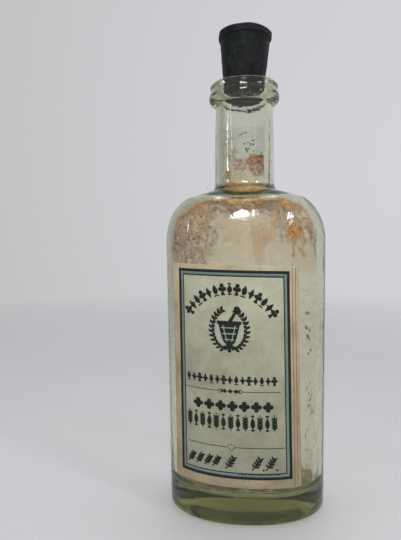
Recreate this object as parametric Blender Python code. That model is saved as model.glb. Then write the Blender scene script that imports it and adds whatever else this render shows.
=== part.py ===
"""Oval pharmacy bottle of pressed glass, with its rubber stopper and its glued paper label.

Metres, +Z up. The origin is at the centre of the underside, and the label faces -Y.
"""

import math

import bmesh
import bpy

MM = 0.001

# Driving dimensions of the bottle.
GLASS_HEIGHT = 122.5 * MM
BASE_HALF_WIDTH = 22.6 * MM
BODY_HALF_WIDTH = 23.1 * MM
BASE_HALF_DEPTH = 15.6 * MM
BODY_HALF_DEPTH = 15.8 * MM
BODY_ROUNDNESS = 2.15
PLAIN_OVAL = 2.0
WALL = 2.2 * MM
CROWN_WALL = 1.3 * MM
FLOOR_THICKNESS = 6.5 * MM
HEEL_RADIUS = 2.2 * MM
INNER_HEEL_RADIUS = 4.0 * MM
BEARING_RING_WIDTH = 3.5 * MM
PUNT_DEPTH = 1.2 * MM
PUNT_SLOPE_WIDTH = 3.6 * MM

# The shoulder curves in from the body's side to the crown, which slopes up to the neck.
SHOULDER_START = 77.5 * MM
CROWN_HEIGHT = 90.6 * MM
CROWN_HALF_WIDTH = 14.0 * MM
CROWN_HALF_DEPTH = 10.8 * MM
SHOULDER_TURN = 80
NECK_FOOT_HEIGHT = 91.9 * MM
NECK_FOOT_RADIUS = 10.1 * MM
NECK_FILLET_TOP = 94.4 * MM
NECK_BOTTOM_RADIUS = 8.5 * MM
NECK_TOP_RADIUS = 8.2 * MM

# The tooled lip is a narrow bead with a plain band above it, parted by a groove.
BEAD_BOTTOM = 116.6 * MM
BEAD_TOP = 119.9 * MM
BEAD_RADIUS = 10.1 * MM
BEAD_TURN = 75
GROOVE_HEIGHT = 120.2 * MM
GROOVE_RADIUS = 9.45 * MM
BAND_RADIUS = 9.8 * MM
LIP_EDGE_RADIUS = 1.2 * MM

# The bore tapers from the mouth to the neck, and flares a little where it opens into the cavity.
MOUTH_RADIUS = 6.7 * MM
MOUTH_EDGE_RADIUS = 0.6 * MM
TAPER_BOTTOM = 116.0 * MM
BORE_RADIUS = 6.2 * MM
BORE_FLARE = 1.1 * MM
BORE_FLARE_HEIGHT = 0.55 * MM

# The stopper is a tapered rubber bung with a thin moulded rim, and it leans a little in the mouth.
STOPPER_BOTTOM = 117.4 * MM
STOPPER_TOP = 137.0 * MM
STOPPER_BOTTOM_RADIUS = 5.5 * MM
STOPPER_TOP_RADIUS = 7.15 * MM
STOPPER_RIM_RADIUS = 7.55 * MM
STOPPER_RIM_HEIGHT = 1.7 * MM
STOPPER_EDGE_RADIUS = 0.5 * MM
STOPPER_LEAN = math.radians(1.5)

# The label is stuck on a little left of centre.
LABEL_LEFT = -19.5 * MM
LABEL_RIGHT = 13.7 * MM
LABEL_BOTTOM = 11.3 * MM
LABEL_TOP = 71.2 * MM
LABEL_THICKNESS = 0.15 * MM
LABEL_GAP = 0.3 * MM

# The glass stands back by half of what the label adds in front, so the whole part is centred.
AXIS_Y = (LABEL_GAP + LABEL_THICKNESS) / 2

# Corners round each body, and steps along the arcs of its profile.
AROUND_GLASS = 56
AROUND_STOPPER = 48
SHOULDER_STEPS = 9
HEEL_STEPS = 5
LIP_STEPS = 4
EDGE_STEPS = 3
LABEL_COLUMNS = 26
LABEL_ROWS = 8

# Edges that turn by more than this stay crisp.
SHARP_ANGLE = math.radians(40)

# How much longer than wide the body's section is, and the share of it where a section is fully squared.
BODY_STRETCH = BODY_HALF_WIDTH / BODY_HALF_DEPTH - 1
SQUARED_FROM = 0.5


def clear_scene():
    for obj in list(bpy.data.objects):
        bpy.data.objects.remove(obj, do_unlink=True)


def mix(start, end, share):
    return start + (end - start) * share


def make_material(name, color, roughness, transmission=0.0):
    material = bpy.data.materials.new(name)
    material.use_nodes = True
    shader = material.node_tree.nodes["Principled BSDF"]
    shader.inputs["Base Color"].default_value = (*color, 1.0)
    shader.inputs["Roughness"].default_value = roughness
    shader.inputs["Transmission Weight"].default_value = transmission
    return material


def oval_point(half_width, half_depth, roundness, angle):
    """A point of a superellipse about the bottle's axis; PLAIN_OVAL makes it an ellipse."""
    power = 2 / roundness
    across = math.cos(angle)
    along = math.sin(angle)
    x = half_width * math.copysign(abs(across) ** power, across)
    y = half_depth * math.copysign(abs(along) ** power, along)
    return x, y


def arc_ring(center, radii, start, end, steps):
    """Rings (height, half width, half depth) along an arc in a round part's profile.

    center is (height, half width, half depth), radii the same for the arc, and the angles run
    from 0, straight out, to 90 degrees, straight up.
    """
    rings = []
    for step in range(steps + 1):
        angle = math.radians(mix(start, end, step / steps))
        height = center[0] + radii[0] * math.sin(angle)
        half_width = center[1] + radii[1] * math.cos(angle)
        half_depth = center[2] + radii[2] * math.cos(angle)
        rings.append((height, half_width, half_depth))
    return rings


def underside_rings():
    """The shallow hollow under the base, and the flat ring that the bottle stands on."""
    outer = HEEL_RADIUS
    inner = HEEL_RADIUS + BEARING_RING_WIDTH
    bowl = inner + PUNT_SLOPE_WIDTH
    return [
        (PUNT_DEPTH, BASE_HALF_WIDTH - bowl, BASE_HALF_DEPTH - bowl),
        (0.0, BASE_HALF_WIDTH - inner, BASE_HALF_DEPTH - inner),
        (0.0, BASE_HALF_WIDTH - outer, BASE_HALF_DEPTH - outer),
    ]


def side_rings():
    """The rounded heel, the side, which widens slightly upwards, and the shoulder's curve."""
    heel_center = (HEEL_RADIUS, BASE_HALF_WIDTH - HEEL_RADIUS, BASE_HALF_DEPTH - HEEL_RADIUS)
    heel = arc_ring(heel_center, (HEEL_RADIUS,) * 3, -90, 0, HEEL_STEPS)
    shoulder = arc_ring(
        (SHOULDER_START, CROWN_HALF_WIDTH, CROWN_HALF_DEPTH),
        (
            CROWN_HEIGHT - SHOULDER_START,
            BODY_HALF_WIDTH - CROWN_HALF_WIDTH,
            BODY_HALF_DEPTH - CROWN_HALF_DEPTH,
        ),
        0,
        SHOULDER_TURN,
        SHOULDER_STEPS,
    )
    return heel[1:] + shoulder


def neck_foot_rings():
    """The fillet between the crown and the neck."""
    reach = NECK_FOOT_RADIUS - NECK_BOTTOM_RADIUS
    rise = NECK_FILLET_TOP - NECK_FOOT_HEIGHT
    center = (NECK_FILLET_TOP, NECK_FOOT_RADIUS, NECK_FOOT_RADIUS)
    return arc_ring(center, (rise, reach, reach), 270, 180, LIP_STEPS)


def round_rings(points):
    return [(height, radius, radius) for height, radius in points]


def lip_rings():
    """The bead, the groove, the band and the band's rounded top edge."""
    half = (BEAD_TOP - BEAD_BOTTOM) / 2
    swell = BEAD_RADIUS - NECK_TOP_RADIUS
    lower_center = (BEAD_BOTTOM + half, NECK_TOP_RADIUS, NECK_TOP_RADIUS)
    lower = arc_ring(lower_center, (half, swell, swell), -90, 0, LIP_STEPS)
    fall = BEAD_RADIUS - GROOVE_RADIUS
    upper_center = (BEAD_BOTTOM + half, GROOVE_RADIUS, GROOVE_RADIUS)
    upper = arc_ring(upper_center, (half, fall, fall), 0, BEAD_TURN, EDGE_STEPS)
    edge_center = (
        GLASS_HEIGHT - LIP_EDGE_RADIUS,
        BAND_RADIUS - LIP_EDGE_RADIUS,
        BAND_RADIUS - LIP_EDGE_RADIUS,
    )
    edge = arc_ring(edge_center, (LIP_EDGE_RADIUS,) * 3, 0, 90, LIP_STEPS)
    return lower + upper[1:] + round_rings([(GROOVE_HEIGHT, GROOVE_RADIUS)]) + edge


def bore_rings():
    """The mouth's rounded inner edge, the tapered mouth and the straight bore of the neck."""
    center = (
        GLASS_HEIGHT - MOUTH_EDGE_RADIUS,
        MOUTH_RADIUS + MOUTH_EDGE_RADIUS,
        MOUTH_RADIUS + MOUTH_EDGE_RADIUS,
    )
    edge = arc_ring(center, (MOUTH_EDGE_RADIUS,) * 3, 90, 180, EDGE_STEPS)
    inner_foot = NECK_FILLET_TOP - WALL
    return edge + round_rings([(TAPER_BOTTOM, BORE_RADIUS), (inner_foot, BORE_RADIUS)])


def cavity_rings():
    """The bore's flare, and the inside of the shoulder, the side and the rounded edge of the floor."""
    ceiling = CROWN_HEIGHT - CROWN_WALL
    half_width = BODY_HALF_WIDTH - WALL
    half_depth = BODY_HALF_DEPTH - WALL
    shoulder_center = (SHOULDER_START, CROWN_HALF_WIDTH - WALL, CROWN_HALF_DEPTH - WALL)
    radii = (
        ceiling - SHOULDER_START,
        half_width - shoulder_center[1],
        half_depth - shoulder_center[2],
    )
    shoulder = arc_ring(shoulder_center, radii, SHOULDER_TURN, 0, SHOULDER_STEPS)
    floor_center = (
        FLOOR_THICKNESS + INNER_HEEL_RADIUS,
        BASE_HALF_WIDTH - WALL - INNER_HEEL_RADIUS,
        BASE_HALF_DEPTH - WALL - INNER_HEEL_RADIUS,
    )
    floor = arc_ring(floor_center, (INNER_HEEL_RADIUS,) * 3, 0, -90, HEEL_STEPS)
    flare = round_rings([(ceiling + BORE_FLARE_HEIGHT, BORE_RADIUS + BORE_FLARE)])
    return flare + shoulder + floor


def roundness_at(half_width, half_depth):
    """The body's roundness, easing to a plain circle where the section is one."""
    stretch = half_width / half_depth - 1
    share = min(1.0, stretch / (BODY_STRETCH * SQUARED_FROM))
    return mix(PLAIN_OVAL, BODY_ROUNDNESS, max(0.0, share))


def close_with_fan(bm, ring, height, facing_up):
    hub = bm.verts.new((0, 0, height))
    for index, vert in enumerate(ring):
        following = ring[(index + 1) % len(ring)]
        corners = (vert, following, hub) if facing_up else (following, vert, hub)
        bm.faces.new(corners)


def skin_rings(name, rings, around, material, last_faces_up):
    """An object skinned over closed rings that start under the part, and closed at both ends."""
    bm = bmesh.new()
    loops = []
    for height, half_width, half_depth in rings:
        roundness = roundness_at(half_width, half_depth)
        loop = []
        for index in range(around):
            angle = 2 * math.pi * index / around
            x, y = oval_point(half_width, half_depth, roundness, angle)
            loop.append(bm.verts.new((x, y, height)))
        loops.append(loop)
    for lower, upper in zip(loops, loops[1:]):
        for index in range(around):
            following = (index + 1) % around
            bm.faces.new((lower[index], lower[following], upper[following], upper[index]))
    close_with_fan(bm, loops[0], rings[0][0], False)
    close_with_fan(bm, loops[-1], rings[-1][0], last_faces_up)
    mesh = bpy.data.meshes.new(name)
    bm.to_mesh(mesh)
    bm.free()
    mesh.shade_smooth()
    mesh.set_sharp_from_angle(angle=SHARP_ANGLE)
    mesh.materials.append(material)
    obj = bpy.data.objects.new(name, mesh)
    bpy.context.scene.collection.objects.link(obj)
    return obj


def make_glass_bottle():
    rings = underside_rings() + side_rings() + neck_foot_rings()
    rings += lip_rings() + bore_rings() + cavity_rings()
    glass = make_material("bottle_glass", (0.72, 0.76, 0.62), roughness=0.05, transmission=1.0)
    bottle = skin_rings("glass_bottle", rings, AROUND_GLASS, glass, True)
    bottle.location = (0, AXIS_Y, 0)
    return bottle


def make_rubber_stopper():
    """The stopper's origin is on its axis in the plane of the lip, where it tilts and lifts out."""
    def place(height, radius):
        return (height - GLASS_HEIGHT, radius, radius)

    edge = STOPPER_EDGE_RADIUS
    rim_bottom = STOPPER_TOP - STOPPER_RIM_HEIGHT
    foot_center = place(STOPPER_BOTTOM + edge, STOPPER_BOTTOM_RADIUS - edge)
    foot = arc_ring(foot_center, (edge,) * 3, -90, 0, EDGE_STEPS)
    rim_center = place(STOPPER_TOP - edge, STOPPER_RIM_RADIUS - edge)
    rim = arc_ring(rim_center, (edge,) * 3, 0, 90, EDGE_STEPS)
    rings = foot + [place(rim_bottom - edge, STOPPER_TOP_RADIUS)]
    rings += [place(rim_bottom, STOPPER_RIM_RADIUS)] + rim
    rubber = make_material("black_rubber", (0.022, 0.024, 0.027), roughness=0.62)
    stopper = skin_rings("rubber_stopper", rings, AROUND_STOPPER, rubber, True)
    stopper.location = (0, AXIS_Y, GLASS_HEIGHT)
    stopper.rotation_euler = (0, STOPPER_LEAN, 0)
    return stopper


def label_angle(x, half_width):
    """The angle of oval_point at which the front of the section passes x."""
    across = math.copysign(abs(x / half_width) ** (BODY_ROUNDNESS / 2), x)
    return -math.acos(across)


def label_grid(bm, offset):
    """Rows of vertices on the body's front, this far out from the glass."""
    grid = []
    for row in range(LABEL_ROWS + 1):
        height = mix(LABEL_BOTTOM, LABEL_TOP, row / LABEL_ROWS)
        share = height / SHOULDER_START
        half_width = mix(BASE_HALF_WIDTH, BODY_HALF_WIDTH, share) + offset
        half_depth = mix(BASE_HALF_DEPTH, BODY_HALF_DEPTH, share) + offset
        left = label_angle(LABEL_LEFT, half_width)
        right = label_angle(LABEL_RIGHT, half_width)
        line = []
        for column in range(LABEL_COLUMNS + 1):
            angle = mix(left, right, column / LABEL_COLUMNS)
            x, y = oval_point(half_width, half_depth, BODY_ROUNDNESS, angle)
            line.append(bm.verts.new((x, y, height)))
        grid.append(line)
    return grid


def border_of(grid):
    """The grid's outermost vertices, in order round it."""
    right = [line[-1] for line in grid[1:-1]]
    left = [line[0] for line in reversed(grid[1:-1])]
    return grid[0] + right + grid[-1][::-1] + left


def make_front_label():
    bm = bmesh.new()
    back = label_grid(bm, LABEL_GAP)
    front = label_grid(bm, LABEL_GAP + LABEL_THICKNESS)
    for row in range(LABEL_ROWS):
        for column in range(LABEL_COLUMNS):
            for grid, outward in ((back, False), (front, True)):
                corners = [
                    grid[row][column],
                    grid[row][column + 1],
                    grid[row + 1][column + 1],
                    grid[row + 1][column],
                ]
                bm.faces.new(corners if outward else corners[::-1])
    inner = border_of(back)
    outer = border_of(front)
    for index, vert in enumerate(inner):
        following = (index + 1) % len(inner)
        bm.faces.new((vert, inner[following], outer[following], outer[index]))
    mesh = bpy.data.meshes.new("front_label")
    bm.to_mesh(mesh)
    bm.free()
    mesh.shade_smooth()
    mesh.set_sharp_from_angle(angle=SHARP_ANGLE)
    mesh.materials.append(make_material("label_paper", (0.52, 0.52, 0.40), roughness=0.85))
    label = bpy.data.objects.new("front_label", mesh)
    label.location = (0, AXIS_Y, 0)
    bpy.context.scene.collection.objects.link(label)
    return label


clear_scene()
make_glass_bottle()
make_rubber_stopper()
make_front_label()
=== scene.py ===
"""Looks of the old pharmacy bottle: wavy glass, printed label, rubber stopper and dried residue."""

import math
import random

import bmesh
import bpy
import numpy as np
from mathutils import Matrix, Quaternion, Vector, noise


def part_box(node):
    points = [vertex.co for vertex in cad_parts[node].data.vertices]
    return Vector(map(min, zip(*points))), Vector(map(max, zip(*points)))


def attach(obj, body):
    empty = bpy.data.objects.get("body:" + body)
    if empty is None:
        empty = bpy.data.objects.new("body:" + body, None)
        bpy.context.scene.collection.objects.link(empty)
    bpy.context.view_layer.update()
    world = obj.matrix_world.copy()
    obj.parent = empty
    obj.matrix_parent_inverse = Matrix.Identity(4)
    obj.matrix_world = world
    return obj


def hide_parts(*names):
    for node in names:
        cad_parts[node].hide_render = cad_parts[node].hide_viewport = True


MM = 0.001

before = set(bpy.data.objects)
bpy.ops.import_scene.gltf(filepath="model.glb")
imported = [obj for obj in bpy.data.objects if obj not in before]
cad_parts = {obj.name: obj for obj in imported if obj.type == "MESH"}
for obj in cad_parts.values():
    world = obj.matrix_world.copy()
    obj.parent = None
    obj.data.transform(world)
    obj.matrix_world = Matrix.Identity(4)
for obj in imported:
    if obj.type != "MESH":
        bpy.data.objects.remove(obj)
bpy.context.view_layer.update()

# The frame's own sizes.
GLASS_LOW, GLASS_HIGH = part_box("glass_bottle")
LABEL_LOW, LABEL_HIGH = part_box("front_label")
AXIS_Y = (GLASS_LOW.y + GLASS_HIGH.y) / 2
GLASS_HEIGHT = GLASS_HIGH.z
BODY_HALF_WIDTH = GLASS_HIGH.x
BODY_HALF_DEPTH = GLASS_HIGH.y - AXIS_Y

# The glass, as in the CAD.
BASE_HALF_WIDTH = BODY_HALF_WIDTH - 0.5 * MM
BASE_HALF_DEPTH = BODY_HALF_DEPTH - 0.2 * MM
PLAIN_OVAL = 2.0
BODY_ROUNDNESS = 2.15
WALL = 2.2 * MM
CROWN_WALL = 1.3 * MM
FLOOR_THICKNESS = 6.5 * MM
HEEL_RADIUS = 2.2 * MM
INNER_HEEL_RADIUS = 4.0 * MM
BEARING_RING_WIDTH = 3.5 * MM
PUNT_DEPTH = 1.2 * MM
SHOULDER_START = 77.5 * MM
CROWN_HEIGHT = 90.6 * MM
CROWN_HALF_WIDTH = 14.0 * MM
CROWN_HALF_DEPTH = 10.8 * MM
NECK_FOOT_HEIGHT = 91.9 * MM
NECK_FOOT_RADIUS = 10.1 * MM
NECK_FILLET_TOP = 94.4 * MM
NECK_BOTTOM_RADIUS = 8.5 * MM
NECK_TOP_RADIUS = 8.2 * MM
BEAD_BOTTOM = 116.6 * MM
BEAD_TOP = 119.9 * MM
BEAD_RADIUS = 10.1 * MM
GROOVE_HEIGHT = 120.2 * MM
GROOVE_RADIUS = 9.45 * MM
BAND_RADIUS = 9.8 * MM
LIP_EDGE_RADIUS = 1.2 * MM
MOUTH_RADIUS = 6.7 * MM
MOUTH_EDGE_RADIUS = 0.6 * MM
TAPER_BOTTOM = 116.0 * MM
BORE_RADIUS = 6.2 * MM

# How far the arcs turn, in degrees, and how finely the outlines are cut.
SHOULDER_TURN = 78
NECK_FOOT_TURN = 262
INNER_FOOT_TURN = 250
BEAD_TURN = 75
AROUND = 176
STOPPER_AROUND = 128
HEEL_STEPS = 10
SIDE_STEPS = 30
SHOULDER_STEPS = 22
NECK_STEPS = 14
BEAD_STEPS = 9

# How uneven the old glass is, outside and inside.
OUTER_WAVE = 0.04 * MM
INNER_WAVE = 0.28 * MM
INNER_STREAKS = 0.7
FLOOR_WAVE = 0.8 * MM
SEAM_HEIGHT = 0.10 * MM
SEAM_WIDTH = 0.35 * MM

# The stopper, as in the CAD.
STOPPER_BOTTOM = 117.4 * MM
STOPPER_TOP = 137.0 * MM
STOPPER_BOTTOM_RADIUS = 5.5 * MM
STOPPER_TOP_RADIUS = 7.15 * MM
STOPPER_RIM_RADIUS = 7.55 * MM
STOPPER_RIM_HEIGHT = 1.7 * MM
STOPPER_EDGE = 0.5 * MM
STOPPER_DISH = 0.25 * MM
STOPPER_LEAN = math.radians(1.5)

# The label and its print. The slope, skew and flare are shares of a length.
PAPER_THICKNESS = 0.11 * MM
PAPER_FRONT = 0.20 * MM
PAPER_COCKLE = 0.035 * MM
PAPER_EDGE_STRAY = 0.10 * MM
CORNER_LIFT = 0.20 * MM
CORNER_REACH = 2.2 * MM
INK_STEP = 0.018 * MM
INK_THICKNESS = INK_STEP * 0.6
STRIP_WIDTH = 0.7 * MM
STRIP_HEIGHT = 2.0 * MM
NEAR = 1e-8
LABEL_SLOPE = -0.032
LABEL_SKEW = 0.010
LABEL_FLARE = 0.035
LINE_BLACK = (0.012, 0.016, 0.013)

# The camera, in the place that the photograph was taken from.
CAMERA_PLACE = Vector((-3.7 * MM, -141.9 * MM, 76.4 * MM))
CAMERA_AIM = Vector((-0.0663, 0.9965, -0.0507))
CAMERA_ROLL = math.radians(0.6)
CAMERA_LENS = 32.1


def mix(start, end, share):
    return start + (end - start) * share


def smooth_step(low, high, value):
    share = min(1.0, max(0.0, (value - low) / (high - low)))
    return share * share * (3 - 2 * share)


# --- materials


# The mix node's sockets for colours, which share their names with others.
MIX_FACTOR, MIX_FIRST, MIX_SECOND, MIX_RESULT = 0, 6, 7, 2
WHITE = (1.0, 1.0, 1.0)
NOTHING = (0.0, 0.0, 0.0)


class Look:
    """The nodes of a material or of the world, with short ways to add to them."""

    def __init__(self, owner, shader="Principled BSDF", coordinates="Object"):
        owner.use_nodes = True
        self.owner = owner
        self.nodes = owner.node_tree.nodes
        self.shader = self.nodes[shader]
        self.place = self.add("TexCoord").outputs[coordinates]

    def feed(self, node, values):
        """Fills a node's inputs, by name or number: an output is linked, and anything else is set."""
        for key, value in values.items():
            socket = node.inputs[key]
            if isinstance(value, bpy.types.NodeSocket):
                self.owner.node_tree.links.new(value, socket)
            else:
                socket.default_value = (*value, 1.0) if socket.type == "RGBA" else value

    def surface(self, values):
        self.feed(self.shader, values)

    def add(self, kind, values=None, **settings):
        node = self.nodes.new("ShaderNode" + kind)
        for name, setting in settings.items():
            setattr(node, name, setting)
        self.feed(node, values or {})
        return node

    def noise(self, scale, detail, roughness, place=None):
        vector = self.place if place is None else place
        values = {"Vector": vector, "Scale": scale, "Detail": detail, "Roughness": roughness}
        return self.add("TexNoise", values).outputs["Fac"]

    def ramp(self, source, *stops):
        """A colour ramp. Each stop is a position with a colour, or with one number for a grey."""
        node = self.add("ValToRGB", {"Fac": source})
        elements = node.color_ramp.elements
        while len(elements) < len(stops):
            elements.new(0.5)
        for element, (position, color) in zip(elements, stops):
            element.position = position
            element.color = (*color, 1.0) if isinstance(color, tuple) else (color, color, color, 1.0)
        return node.outputs["Color"]

    def mix(self, factor, first, second, blend="MIX"):
        values = {MIX_FACTOR: factor, MIX_FIRST: first, MIX_SECOND: second}
        return self.add("Mix", values, data_type="RGBA", blend_type=blend).outputs[MIX_RESULT]

    def bump(self, height, strength, distance):
        node = self.add("Bump", {"Strength": strength, "Distance": distance, "Height": height})
        self.surface({"Normal": node.outputs["Normal"]})


def new_look(name):
    return Look(bpy.data.materials.new(name))


def glass_material():
    """Clear old glass with an olive cast that deepens with its thickness; lamps shine through it."""
    look = new_look("old_bottle_glass")
    look.surface({"Base Color": (0.99, 0.995, 0.985), "IOR": 1.5})
    look.surface({"Roughness": 0.0, "Transmission Weight": 1.0})
    waves = look.noise(210.0, 4.0, 0.55)
    ripples = look.noise(900.0, 2.0, 0.5)
    look.bump(look.mix(0.16, waves, ripples), 0.38, 0.0005)
    clear = look.add("BsdfTransparent", {"Color": (0.90, 0.91, 0.87)})
    blend = look.add("MixShader", {
        "Fac": look.add("LightPath").outputs["Is Shadow Ray"],
        1: look.shader.outputs["BSDF"],
        2: clear.outputs["BSDF"],
    })
    absorption = look.add("VolumeAbsorption", {"Color": (0.48, 0.49, 0.10), "Density": 106.0})
    look.feed(look.nodes["Material Output"], {
        "Surface": blend.outputs["Shader"],
        "Volume": absorption.outputs["Volume"],
    })
    return look.owner


def rubber_material():
    """Matt black rubber, greyed by age, with pale streaks of painted highlight, and with dents and pores."""
    look = new_look("aged_black_rubber")
    patches = look.noise(330.0, 5.0, 0.62)
    blacks = ((0.38, (0.002, 0.003, 0.003)), (0.54, (0.006, 0.008, 0.009)), (0.68, (0.017, 0.021, 0.021)))
    stretched = look.add("Mapping", {"Vector": look.place, "Scale": (1.0, 1.0, 0.25)})
    streaks = look.noise(700.0, 3.0, 0.6, stretched.outputs["Vector"])
    # Pale vertical streaks mixed towards grey: painted highlights that stand for glints on the rubber's
    # facets.
    glint_streaks = look.ramp(streaks, (0.56, 0.0), (0.70, 0.6))
    look.surface({
        "Base Color": look.mix(glint_streaks, look.ramp(patches, *blacks), (0.030, 0.035, 0.035)),
        "Roughness": look.ramp(patches, (0.35, 0.40), (0.7, 0.68)),
        "Specular IOR Level": 0.18,
    })
    pores = look.noise(1500.0, 4.0, 0.7)
    look.bump(look.mix(0.35, patches, pores), 0.8, 0.0012)
    return look.owner


def paper_material(name, light, middle, dark, stain):
    """Aged paper: blotched, fibrous, stained, and darker towards its lower edge."""
    look = new_look(name)
    blotches = look.noise(110.0, 5.0, 0.6)
    color = look.ramp(blotches, (0.30, dark), (0.50, middle), (0.72, light))
    fibres = look.noise(2600.0, 3.0, 0.75)
    color = look.mix(1.0, color, look.ramp(fibres, (0.30, 0.84), (0.70, 1.08)), "MULTIPLY")
    spots = look.noise(420.0, 4.0, 0.7)
    color = look.mix(look.ramp(spots, (0.60, 0.0), (0.74, 0.60)), color, stain)
    # Darker towards the lower edge: the colour is multiplied by a ramp on height, about 0.6 at the foot
    # rising to 1 at the top, with a blotchy boundary.
    height = look.add("SeparateXYZ", {"Vector": look.place}).outputs["Z"]
    blotched_height = look.mix(0.012, height, blotches)
    grime = look.ramp(blotched_height, (0.014, 0.60), (0.034, 0.76), (0.052, 0.82), (0.068, 1.0))
    look.surface({
        "Base Color": look.mix(1.0, color, grime, "MULTIPLY"),
        "Roughness": 0.78,
        "Specular IOR Level": 0.3,
    })
    look.bump(fibres, 0.25, 0.00008)
    return look.owner


def ink_material(name, color, worn_color, wear):
    """Printing ink, thin where the paper's grain shows through."""
    look = new_look(name)
    low = 0.62 - wear
    faded = look.ramp(look.noise(2200.0, 3.0, 0.7), (low, 0.0), (low + 0.22, 0.7))
    look.surface({
        "Base Color": look.mix(faded, color, worn_color),
        "Roughness": 0.65,
        "Specular IOR Level": 0.20,
    })
    return look.owner


def residue_material():
    """A dried film: colour and density are in one colour attribute, specks and veins in the other."""
    look = new_look("dried_residue")
    stored = look.add("VertexColor", layer_name="residue")
    speckled = look.add("VertexColor", layer_name="speckled")
    kinds = look.add("SeparateColor", {"Color": speckled.outputs["Color"]})
    specks = kinds.outputs["Red"]
    grain = look.noise(1700.0, 5.0, 0.75)
    shades = ((0.38, (0.22, 0.15, 0.14)), (0.50, (0.82, 0.78, 0.76)), (0.62, (1.22, 1.20, 1.18)))
    tone = look.ramp(grain, *shades)
    tone = look.mix(look.ramp(specks, (0.0, 0.0), (0.4, 1.0)), WHITE, tone)
    color = look.mix(1.0, stored.outputs["Color"], tone, "MULTIPLY")
    creased = look.noise(800.0, 2.0, 0.6)
    folds = look.ramp(creased, (0.44, 0.0), (0.485, 1.0), (0.515, 1.0), (0.56, 0.0))
    veined = look.mix(kinds.outputs["Green"], NOTHING, folds)
    dots = look.ramp(look.noise(1250.0, 3.0, 0.65), (0.44, 1.0), (0.50, 0.04))
    tears = look.noise(700.0, 8.0, 0.65)
    depth = look.add("Math", {0: stored.outputs["Alpha"], 1: 0.48, 2: tears}, operation="MULTIPLY_ADD")
    torn = look.ramp(depth.outputs["Value"], (0.72, 0.12), (0.84, 1.0))
    cover = look.mix(look.ramp(specks, (0.0, 0.0), (0.5, 1.0)), WHITE, torn)
    cover = look.mix(look.ramp(specks, (0.5, 0.0), (1.0, 1.0)), cover, dots)
    patchy = look.add("Math", {0: stored.outputs["Alpha"], 1: cover}, operation="MULTIPLY")
    look.surface({
        "Base Color": look.mix(veined, color, (0.44, 0.27, 0.22)),
        "Alpha": patchy.outputs["Value"],
        "Roughness": 0.85,
        "Specular IOR Level": 0.2,
    })
    look.bump(grain, 0.4, 0.0002)
    return look.owner


def fleck_material(name, dark, light):
    look = new_look(name)
    grain = look.noise(1800.0, 3.0, 0.7)
    look.surface({"Base Color": look.ramp(grain, (0.35, dark), (0.65, light)), "Roughness": 0.7})
    return look.owner


# --- the glass


def oval_point(half_width, half_depth, roundness, angle):
    power = 2 / roundness
    across = math.cos(angle)
    along = math.sin(angle)
    x = half_width * math.copysign(abs(across) ** power, across)
    y = half_depth * math.copysign(abs(along) ** power, along)
    return x, y


def arc_rings(center, radii, start, end, steps):
    """Rings (height, half width, half depth) along an arc; 0 degrees is straight out, 90 straight up."""
    rings = []
    for step in range(steps + 1):
        angle = math.radians(mix(start, end, step / steps))
        turned = ring(math.sin(angle), math.cos(angle))
        rings.append(tuple(c + r * t for c, r, t in zip(center, radii, turned)))
    return rings


def line_rings(first, last, steps):
    """Rings strictly between two rings."""
    return [tuple(mix(a, b, step / steps) for a, b in zip(first, last)) for step in range(1, steps)]


def ring(height, radius):
    return (height, radius, radius)


def round_arc(height, radius, rise, reach, start, end, steps):
    """An arc of round rings, with its centre at a height and a radius."""
    return arc_rings(ring(height, radius), ring(rise, reach), start, end, steps)


def shrunk_rings(size, shares):
    """A ring's flat copies, each a share of its size."""
    height, half_width, half_depth = size
    return [(height, half_width * share, half_depth * share) for share in shares]


def base_ring(height, inset):
    return (height, BASE_HALF_WIDTH - inset, BASE_HALF_DEPTH - inset)


def shoulder_rings(inset, top, start, end):
    """The shoulder's arc, inside the outline by an inset."""
    center = (SHOULDER_START, CROWN_HALF_WIDTH - inset, CROWN_HALF_DEPTH - inset)
    spread = (top - SHOULDER_START, BODY_HALF_WIDTH - CROWN_HALF_WIDTH, BODY_HALF_DEPTH - CROWN_HALF_DEPTH)
    return arc_rings(center, spread, start, end, SHOULDER_STEPS)


def base_rings():
    """The hollowed underside, from its middle out, and the heel."""
    inset = HEEL_RADIUS + BEARING_RING_WIDTH
    bowl = inset + 3 * PUNT_DEPTH
    rings = shrunk_rings(base_ring(PUNT_DEPTH, bowl), (0.15, 0.4, 0.65, 0.85, 1.0))
    rings.append(base_ring(PUNT_DEPTH * 0.8, bowl - PUNT_DEPTH))
    rings.append(base_ring(PUNT_DEPTH * 0.25, inset + PUNT_DEPTH))
    rings.append(base_ring(0.0, inset))
    return rings + arc_rings(base_ring(HEEL_RADIUS, HEEL_RADIUS), (HEEL_RADIUS,) * 3, -90, 0, HEEL_STEPS)


def outer_rings():
    """The outside, from the middle of the underside up to the lip's edge."""
    base = base_rings()
    shoulder = shoulder_rings(0.0, CROWN_HEIGHT, 0, SHOULDER_TURN)
    reach = NECK_FOOT_RADIUS - NECK_BOTTOM_RADIUS
    rise = NECK_FILLET_TOP - NECK_FOOT_HEIGHT
    foot = round_arc(NECK_FILLET_TOP, NECK_FOOT_RADIUS, rise, reach, NECK_FOOT_TURN, 180, 10)
    half = (BEAD_TOP - BEAD_BOTTOM) / 2
    swell = BEAD_RADIUS - NECK_TOP_RADIUS
    bead = round_arc(BEAD_BOTTOM + half, NECK_TOP_RADIUS, half, swell, -90, 0, BEAD_STEPS)
    fall = BEAD_RADIUS - GROOVE_RADIUS
    bead += round_arc(BEAD_BOTTOM + half, GROOVE_RADIUS, half, fall, 0, BEAD_TURN, 6)[1:]
    edge = LIP_EDGE_RADIUS
    lip = round_arc(GLASS_HEIGHT - edge, BAND_RADIUS - edge, edge, edge, 0, 90, BEAD_STEPS)
    rings = base + line_rings(base[-1], shoulder[0], SIDE_STEPS) + shoulder
    rings += line_rings(shoulder[-1], foot[0], 4) + foot + line_rings(foot[-1], bead[0], NECK_STEPS)
    return rings + bead + [ring(GROOVE_HEIGHT, GROOVE_RADIUS)] + lip


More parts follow.
